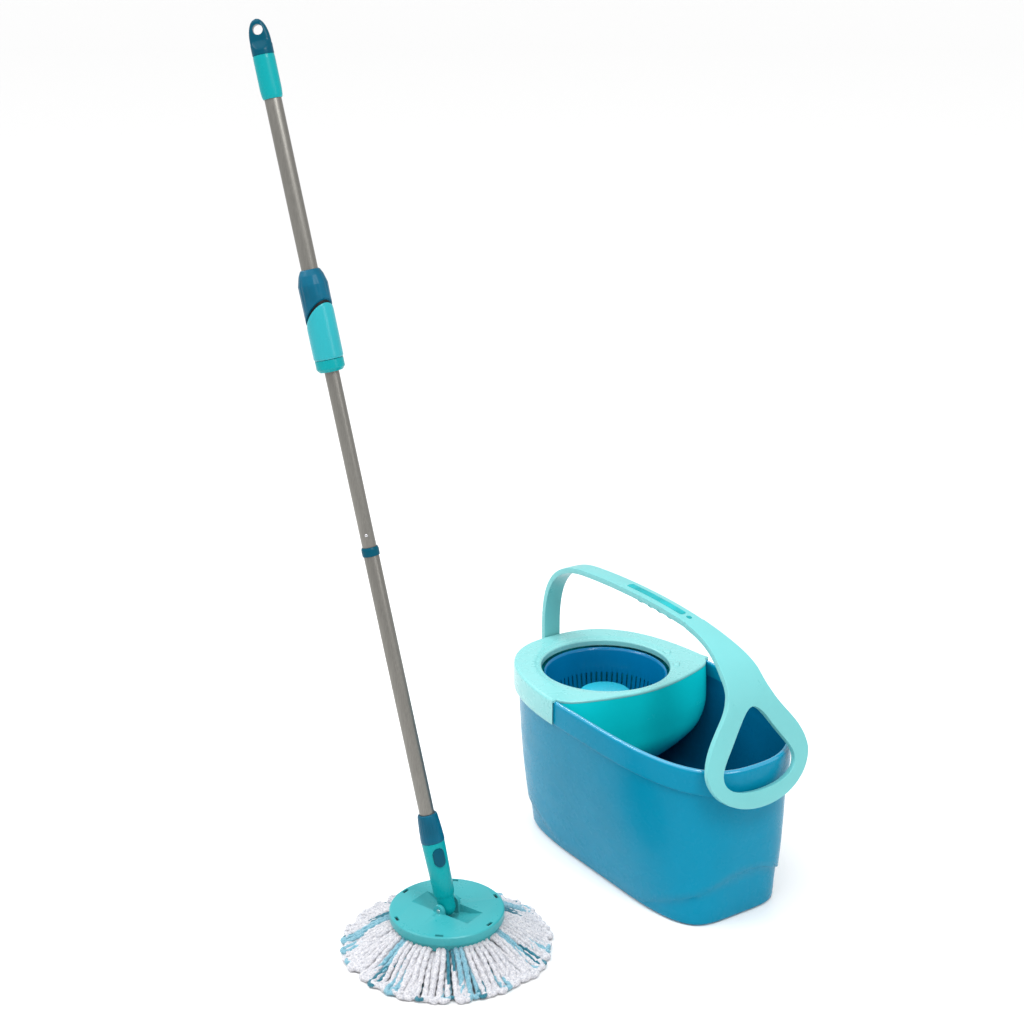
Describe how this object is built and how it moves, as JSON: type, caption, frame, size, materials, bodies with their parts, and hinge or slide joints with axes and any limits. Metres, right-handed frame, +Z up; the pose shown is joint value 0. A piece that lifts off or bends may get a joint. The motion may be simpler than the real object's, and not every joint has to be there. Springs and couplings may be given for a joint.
{
  "type": "spin mop",
  "caption": "Disc spin mop with a pump handle, beside its long oval bucket with a spin basket and a lengthwise carrying bail.",
  "frame": {"origin": "on the floor under the bucket, below the middle of its rim to within 1 mm", "axes": "+Z up, +X towards the pouring end of the bucket, the mop stands on the -Y side"},
  "size_m": [0.5162, 0.681, 1.2272],
  "materials": {
    "bucket_blue": "gloss",
    "aqua": "satin",
    "petrol": "satin",
    "turquoise": "satin",
    "cyan": "gloss",
    "steel": "satin",
    "tube_grey": "satin",
    "yarn": "looped yarn",
    "black": "matte"
  },
  "bodies": {
    "bucket": {"bucket_shell": "bucket_blue", "spinner_insert": "aqua", "basket_clips": "aqua", "basket_axle": "steel", "axle_screws": "steel", "axle_clip": "steel", "bail_pins": "bucket_blue"},
    "basket": {"spin_basket": "petrol", "basket_bearing": "black", "basket_hub": "cyan"},
    "bail": {"bail": "aqua", "grip_inlay": "turquoise"},
    "mop_pad": {"mop_fringe": "yarn", "pad_ring": "turquoise", "ring_clips": "black"},
    "mop_head": {"mop_disc": "turquoise", "hinge_pin": "steel"},
    "lower_shaft": {"socket": "turquoise", "button_spring": "steel", "socket_collar": "petrol", "lower_tube": "tube_grey", "tube_ring": "petrol", "inner_tube": "tube_grey", "snap_pin": "steel", "drive_nut": "petrol", "nut_ring": "steel"},
    "button": {"release_button": "petrol"},
    "bush": {"guide_bush": "turquoise"},
    "upper_handle": {"thrust_washer": "steel", "spindle": "steel", "spindle_plug": "black", "spindle_stop": "steel", "upper_tube": "tube_grey", "grip_body": "petrol", "lock_seal": "black", "end_sleeve": "turquoise", "end_cap": "petrol"},
    "lock": {"lock_sleeve": "turquoise"}
  },
  "joints": [
    {"name": "basket_spin", "type": "hinge", "parent": "bucket", "child": "basket", "pos_m": [-0.105, 0, 0.2], "axis": [0, 0, 1], "continuous": true},
    {"name": "bail_swing", "type": "hinge", "parent": "bucket", "child": "bail", "pos_m": [0, 0, 0.201], "axis": [1, 0, 0], "range_deg": [-90, 90]},
    {"name": "mop_lift", "type": "slide", "parent": "bucket", "child": "mop_pad", "axis": [0, 0, 1], "range_m": [0, 0.3]},
    {"name": "pad_release", "type": "slide", "parent": "mop_pad", "child": "mop_head", "axis": [0, 0, 1], "range_m": [0, 0.06]},
    {"name": "head_tilt", "type": "hinge", "parent": "mop_head", "child": "lower_shaft", "pos_m": [0.054, -0.385, 0.061], "axis": [0.342, -0.9397, 0], "range_deg": [-83.9, 56.1]},
    {"name": "button_press", "type": "slide", "parent": "lower_shaft", "child": "button", "axis": [-0.9548, 0.2164, -0.2037], "range_m": [0, 0.0025], "stiffness_N_per_m": 800},
    {"name": "pump_slide", "type": "slide", "parent": "lower_shaft", "child": "bush", "axis": [-0.2257, -0.0822, 0.9707], "range_m": [-0.21, 0]},
    {"name": "handle_turn", "type": "hinge", "parent": "bush", "child": "upper_handle", "pos_m": [-0.11756, -0.44744, 0.79875], "axis": [-0.2257, -0.0822, 0.9707], "range_deg": [-1, 757]},
    {"name": "lock_slide", "type": "slide", "parent": "upper_handle", "child": "lock", "axis": [-0.2257, -0.0822, 0.9707], "range_m": [0, 0.0045]}
  ],
  "couplings": [
    {"joint": "handle_turn", "follows": "pump_slide", "rad_per_m": -62.832}
  ]
}
